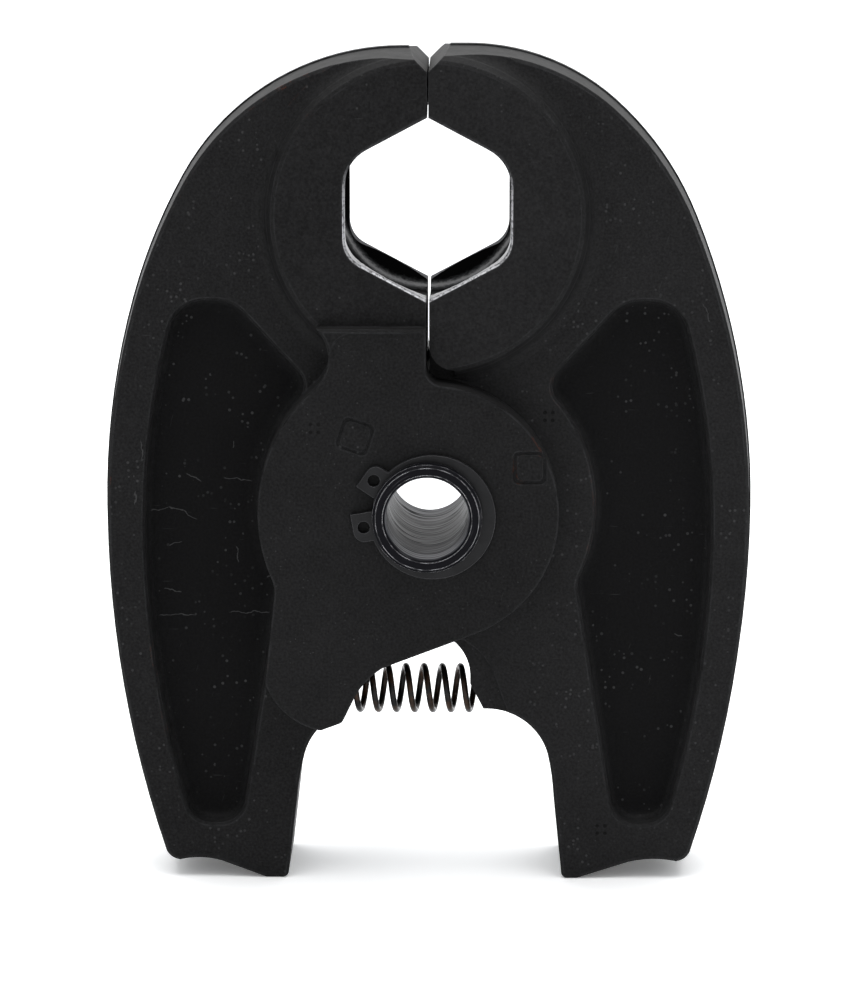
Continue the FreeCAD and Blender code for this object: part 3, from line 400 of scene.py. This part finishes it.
def forged_steel(name, lines, dots, group, lift=1.0):
    """Black forged steel: mottled, speckled and scratched, with wear and a painted highlight along its edges, bare
    in the die with painted highlight and shade there.
    """
    material, tree, shader = new_material(name)
    place = put(tree, "ShaderNodeTexCoord").outputs["Object"]
    parts = put(tree, "ShaderNodeSeparateXYZ", {"Vector": place})
    facing = put(tree, "ShaderNodeSeparateXYZ",
                 {"Vector": put(tree, "ShaderNodeNewGeometry").outputs["True Normal"]})
    depth = math_of(tree, "ABSOLUTE", parts.outputs["Y"])
    toward = math_of(tree, "ABSOLUTE", facing.outputs["Y"])
    frontal = ramp(tree, toward, 0.55, 0.9)
    middle = noise(tree, place, 420.0, 4.0, 0.65)
    grain = noise(tree, place, 2600.0, 3.0, 0.6)
    pocket = product(tree, frontal, ramp(tree, depth, POCKET_FLOOR_DEPTH * MM, 8.0 * MM, 1.0, 0.0))
    color = forging_tone(tree, place, pocket, middle, grain, lift)

    drawn = product(tree, hairlines(tree, place, lines, group), frontal,
                    ramp(tree, facing.outputs["Y"], -0.5, 0.0, 1.0, 0.0))
    lit = math_of(tree, "MAXIMUM", product(tree, forging_marks(tree, place), frontal), drawn)
    color = mix_colors(tree, lit, color, FORGING_LIGHT)

    # Lighter edges: partly wear, partly a painted highlight.
    edge, rounded = edge_share(tree, 0.35, 0.004, 0.08)
    rubbed = ramp(tree, noise(tree, place, 260.0, 4.0, 0.7), 0.34, 0.62)
    worn_and_highlit = product(tree, edge, rubbed, 0.55)
    color = mix_colors(tree, worn_and_highlit, color, FORGING_WEAR_AND_HIGHLIGHT)
    rusty = product(tree, ramp(tree, noise(tree, place, 48.0, 3.0), 0.60, 0.68),
                    ramp(tree, noise(tree, place, 900.0, 2.0), 0.5, 0.62), edge, 0.6)
    color = mix_colors(tree, rusty, color, RUST)
    dot = product(tree, dot_marks(tree, place, dots), frontal)
    color = mix_colors(tree, product(tree, dot, 0.85), color, DOT_DARK)

    radial = vector_of(tree, "LENGTH", flat_point(tree, place, 0.0, DIE_CENTRE_HEIGHT))
    bare = product(tree, ramp(tree, radial, (DIE_REACH - 0.1) * MM, DIE_REACH * MM, 1.0, 0.0),
                   ramp(tree, depth, (DIE_HALF_DEPTH - 0.05) * MM, DIE_HALF_DEPTH * MM, 1.0, 0.0))
    machined_with_painted_light, painted_groove_grey, bright, rear_land = die_finish(tree, place, parts, radial, depth)
    # The die's colour carries the groove's painted highlight and shade and the rear lands' painted shade.
    color = mix_colors(tree, bare, color, machined_with_painted_light)
    lip = product(tree, bare, bright)

    rough = math_of(tree, "ADD", ramp(tree, middle, 0.3, 0.7, 0.50, 0.60, "LINEAR"),
                    product(tree, pocket, 0.15))
    rough = mix_values(tree, math_of(tree, "MAXIMUM", worn_and_highlit, lit), rough, 0.36)
    rough = mix_values(tree, bare, rough, ramp(tree, painted_groove_grey, 0.01, 0.14, 0.95, 0.42))
    rough = mix_values(tree, lip, rough, 0.32)
    outer = ramp(tree, toward, 0.2, 0.45, OUTER_SHEEN, FORGING_SHEEN)
    sheen = mix_values(tree, bare, outer, ramp(tree, painted_groove_grey, 0.006, 0.14, 0.0, 0.25))
    sheen = mix_values(tree, product(tree, bare, rear_land), sheen, REAR_LAND_SHEEN)
    turning = noise(tree, vector_of(tree, "MULTIPLY", place, (300.0, 5200.0, 300.0)), 1.0, 2.0)
    relief = math_of(tree, "ADD", product(tree, grain, 0.5), middle)
    relief = mix_values(tree, bare, relief, turning)
    relief = math_of(tree, "SUBTRACT", relief, product(tree, dot, 3.0))
    relief = math_of(tree, "SUBTRACT", relief, product(tree, drawn, 0.6))
    connect(tree, shader, Base_Color=color, Roughness=rough, Specular_IOR_Level=sheen,
            Metallic=product(tree, lip, 0.9), Normal=bump(tree, relief, 0.035, rounded, 0.8))
    return material


def turned_steel(name):
    """Hollow sleeve: bright turned bore, blackened end with rubbed rings, bright broken edges that are partly bare
    steel and partly a painted highlight.
    """
    material, tree, shader = new_material(name)
    place = put(tree, "ShaderNodeTexCoord").outputs["Object"]
    parts = put(tree, "ShaderNodeSeparateXYZ", {"Vector": place})
    radial = vector_of(tree, "LENGTH", flat_point(tree, place))
    bore = ramp(tree, radial, 6.12 * MM, 6.2 * MM, 1.0, 0.0)
    stretched = vector_of(tree, "MULTIPLY", place, (45.0, 1900.0, 45.0))
    rings = noise(tree, stretched, 1.0, 3.0, 0.55)
    deep = ramp(tree, noise(tree, vector_of(tree, "MULTIPLY", place, (110.0, 1700.0, 110.0)), 1.0, 3.0),
                0.56, 0.64)
    bright = mix_colors(tree, ramp(tree, rings, 0.35, 0.65), (0.06, 0.06, 0.066, 1.0),
                        (0.22, 0.222, 0.24, 1.0))
    bright = mix_colors(tree, product(tree, deep, 0.75), bright, (0.010, 0.010, 0.011, 1.0))
    circles = noise(tree, put(tree, "ShaderNodeCombineXYZ", {
        "X": product(tree, radial, 5200.0),
        "Y": product(tree, parts.outputs["X"], 160.0),
        "Z": product(tree, parts.outputs["Z"], 160.0)}).outputs["Vector"], 1.0, 2.0)
    rubs = ramp(tree, circles, 0.66, 0.80, 0.0, 0.6)
    dark = mix_colors(tree, rubs, (0.0045, 0.0045, 0.0062, 1.0), (0.20, 0.20, 0.21, 1.0))
    edge, rounded = edge_share(tree, 0.16, 0.01, 0.1)
    # Bright edges: partly bare steel, partly a painted highlight.
    chips_and_highlight = ramp(tree, noise(tree, place, 700.0, 3.0), 0.4, 0.56, 0.15, 1.0)
    dark = mix_colors(tree, product(tree, edge, chips_and_highlight), dark, (0.55, 0.55, 0.57, 1.0))
    color = mix_colors(tree, bore, dark, bright)
    rough = mix_values(tree, bore, 0.5, ramp(tree, rings, 0.35, 0.65, 0.5, 0.34))
    sheen = mix_values(tree, bore, 0.055, ramp(tree, deep, 0.0, 1.0, 0.12, 0.0, "LINEAR"))
    relief = mix_values(tree, bore, circles, rings)
    metal = product(tree, math_of(tree, "MAXIMUM", edge, rubs), 0.6)
    metal = mix_values(tree, bore, metal, 0.05)
    connect(tree, shader, Base_Color=color, Roughness=rough, Metallic=metal, Specular_IOR_Level=sheen,
            Normal=bump(tree, relief, 0.02, rounded, 0.7))
    return material


def ring_steel(name):
    """Satin dark spring steel with fine marks and rubbed edges."""
    material, tree, shader = new_material(name)
    place = put(tree, "ShaderNodeTexCoord").outputs["Object"]
    cloud = noise(tree, place, 300.0, 4.0, 0.6)
    grain = noise(tree, place, 2400.0, 3.0, 0.6)
    color = mix_colors(tree, ramp(tree, cloud, 0.3, 0.7), (0.011, 0.011, 0.0117, 1.0),
                       (0.018, 0.018, 0.019, 1.0))
    edge, rounded = edge_share(tree, 0.18, 0.01, 0.12)
    color = mix_colors(tree, product(tree, edge, 0.5), color, (0.16, 0.16, 0.17, 1.0))
    dots = product(tree, specks(tree, place, 900.0, 0.3, 0.1), 0.5)
    color = mix_colors(tree, dots, color, (0.14, 0.14, 0.14, 1.0))
    rough = ramp(tree, cloud, 0.3, 0.7, 0.30, 0.42, "LINEAR")
    connect(tree, shader, Base_Color=color, Roughness=rough,
            Normal=bump(tree, grain, 0.02, rounded, 0.5))
    shader.inputs["Metallic"].default_value = 0.25
    shader.inputs["Specular IOR Level"].default_value = 0.13
    return material


def spring_steel(name):
    """Oiled black wire, browned in places, with fine drawing lines."""
    material, tree, shader = new_material(name)
    place = put(tree, "ShaderNodeTexCoord").outputs["Object"]
    cloud = noise(tree, place, 380.0, 4.0, 0.6)
    grain = noise(tree, place, 3000.0, 2.0)
    color = mix_colors(tree, ramp(tree, cloud, 0.42, 0.66), (0.010, 0.010, 0.010, 1.0),
                       (0.052, 0.028, 0.016, 1.0))
    color = mix_colors(tree, specks(tree, place, 1200.0, 0.35, 0.16), color, (0.12, 0.10, 0.08, 1.0))
    rough = ramp(tree, cloud, 0.3, 0.7, 0.24, 0.42, "LINEAR")
    connect(tree, shader, Base_Color=color, Roughness=rough, Normal=bump(tree, grain, 0.012))
    shader.inputs["Metallic"].default_value = 0.35
    shader.inputs["Specular IOR Level"].default_value = 0.2
    return material


# Spring in two lengths, one on each half jaw

WIRE_SIDES = 16
STEPS_PER_TURN = 48


def coil_point(x):
    """A point of the wire's middle line; the turns draw in where the right seat hides them."""
    angle = 2 * math.pi * (x - SPRING_BOTTOM_X) / SPRING_PITCH
    share = min(1.0, max(0.0, (x - SPRING_TAPER_START) / (SPRING_TAPER_END - SPRING_TAPER_START)))
    radius = SPRING_RADIUS + (SPRING_END_RADIUS - SPRING_RADIUS) * share
    return Vector((x, radius * math.sin(angle), SPRING_AXIS_HEIGHT - radius * math.cos(angle)))


def coil_rings(start, end, split):
    """Rings of wire section along the coil, with a rounded tip at the end that isn't the split."""
    count = max(8, round((end - start) / SPRING_PITCH * STEPS_PER_TURN))
    rings = []
    for step in range(count + 1):
        x = start + (end - start) * step / count
        ahead = (coil_point(x + 0.01) - coil_point(x - 0.01)).normalized()
        outward = coil_point(x) - Vector((x, 0.0, SPRING_AXIS_HEIGHT))
        outward = (outward - ahead * outward.dot(ahead)).normalized()
        rings.append((coil_point(x), ahead, outward, 1.0))
    onward = start == split
    middle, ahead, outward, _ = rings[-1] if onward else rings[0]
    tip = []
    for share in (0.35, 0.65, 0.88, 0.985):
        reach = SPRING_WIRE_RADIUS * share * (1 if onward else -1)
        tip.append((middle + ahead * reach, ahead, outward, math.sqrt(1 - share * share)))
    return rings + tip if onward else tip[::-1] + rings


def coil_piece(name, start, end, split, body):
    """Coil with a flat end at the split, in a plane that neither pose nor squash moves."""
    made = bmesh.new()
    loops = []
    for middle, ahead, outward, size in coil_rings(start, end, split):
        aside = ahead.cross(outward)
        loop = []
        for side in range(WIRE_SIDES):
            angle = 2 * math.pi * side / WIRE_SIDES
            off = outward * math.cos(angle) + aside * math.sin(angle)
            loop.append(made.verts.new((middle + off * SPRING_WIRE_RADIUS * size) * MM))
        loops.append(loop)
    flat_end, way = (loops[0], 1) if start == split else (loops[-1], -1)
    for vertex in flat_end:
        vertex.co.y = way * SPRING_SPLIT_GAP / 2 * MM
    for low, high in zip(loops, loops[1:]):
        for side in range(WIRE_SIDES):
            after = (side + 1) % WIRE_SIDES
            made.faces.new((low[side], low[after], high[after], high[side]))
    made.faces.new(reversed(loops[0]))
    made.faces.new(loops[-1])
    for face in made.faces:
        face.smooth = True
    mesh = bpy.data.meshes.new(name)
    made.to_mesh(mesh)
    made.free()
    piece = bpy.data.objects.new(name, mesh)
    bpy.context.scene.collection.objects.link(piece)
    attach(piece, body)
    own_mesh(piece)
    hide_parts("compression_spring")
    return piece


def spring_pieces():
    """Each length shortens towards its seat so that both still meet below at the swing's limit."""
    split = SPRING_BOTTOM_X
    left = coil_piece("spring_left_length", SPRING_LEFT_END + SPRING_WIRE_RADIUS, split, split,
                      "left_jaw")
    right = coil_piece("spring_right_length", split, SPRING_RIGHT_END - SPRING_WIRE_RADIUS, split,
                       "right_jaw")
    return [left, right]


# Stage

def background_rays(tree):
    """1 for the rays that show the background: seen straight, mirrored or through glass."""
    path = put(tree, "ShaderNodeLightPath").outputs
    bent = math_of(tree, "MAXIMUM", path["Is Glossy Ray"], path["Is Transmission Ray"])
    return math_of(tree, "MAXIMUM", path["Is Camera Ray"], bent)


def add_floor():
    bpy.ops.mesh.primitive_plane_add(size=6, location=(0, 0, cad_low[2]))
    floor = bpy.context.object
    floor.name = "floor"
    material, tree, shader = new_material("floor")
    shader.inputs["Base Color"].default_value = (0.85, 0.85, 0.85, 1.0)
    shader.inputs["Roughness"].default_value = 0.9
    shader.inputs["Specular IOR Level"].default_value = 0.0
    paper = put(tree, "ShaderNodeBsdfDiffuse", {"Color": (1.3, 1.3, 1.3, 1.0)})
    glow = put(tree, "ShaderNodeEmission", {"Color": (1.0, 1.0, 1.0, 1.0), "Strength": 0.1})
    both = put(tree, "ShaderNodeAddShader", {0: paper.outputs[0], 1: glow.outputs[0]})
    chosen = put(tree, "ShaderNodeMixShader", {0: background_rays(tree), 1: shader.outputs[0], 2: both.outputs[0]})
    tree.links.new(chosen.outputs[0], tree.nodes["Material Output"].inputs["Surface"])
    floor.data.materials.append(material)


def add_world():
    """White as a background; as light, a soft room that is brighter above and behind."""
    world = bpy.data.worlds.new("world")
    bpy.context.scene.world = world
    world.use_nodes = True
    tree = world.node_tree
    tree.nodes.clear()
    toward = put(tree, "ShaderNodeSeparateXYZ",
                 {"Vector": put(tree, "ShaderNodeTexCoord").outputs["Generated"]})
    behind = ramp(tree, toward.outputs["Y"], -0.2, 0.9, 0.0, 1.0)
    above = ramp(tree, toward.outputs["Z"], 0.1, 1.0, 0.0, 0.35)
    strength = math_of(tree, "ADD", math_of(tree, "ADD", behind, above), 0.38)
    room = put(tree, "ShaderNodeBackground", {"Color": (0.97, 0.985, 1.0, 1.0), "Strength": strength})
    white = put(tree, "ShaderNodeBackground", {"Color": (1.0, 1.0, 1.0, 1.0), "Strength": 1.0})
    both = put(tree, "ShaderNodeMixShader", {0: background_rays(tree), 1: room.outputs[0], 2: white.outputs[0]})
    put(tree, "ShaderNodeOutputWorld", {"Surface": both.outputs[0]})


# Scene

add_camera()
line_group = hairline_group()
finishes = {
    "left_half_jaw": forged_steel("forged_left", LEFT_HAIRLINES, LEFT_DOT_GROUPS, line_group),
    "right_half_jaw": forged_steel("forged_right", RIGHT_HAIRLINES, RIGHT_DOT_GROUPS, line_group,
                                   RIGHT_LIFT),
    "pivot_sleeve": turned_steel("turned_sleeve"),
}
finishes["front_retaining_ring"] = finishes["rear_retaining_ring"] = ring_steel("satin_ring")
for name, finish in finishes.items():
    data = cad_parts[name].data
    data.materials.clear()
    data.materials.append(finish)
wire = spring_steel("spring_wire")
for piece in spring_pieces():
    piece.data.materials.append(wire)

add_floor()
add_world()
area_light("overhead", (0.0, -0.05, 0.95), (0.0, 0.0, 0.0), (1.0, 1.0), 7.5)
bpy.context.scene.view_settings.view_transform = "Standard"
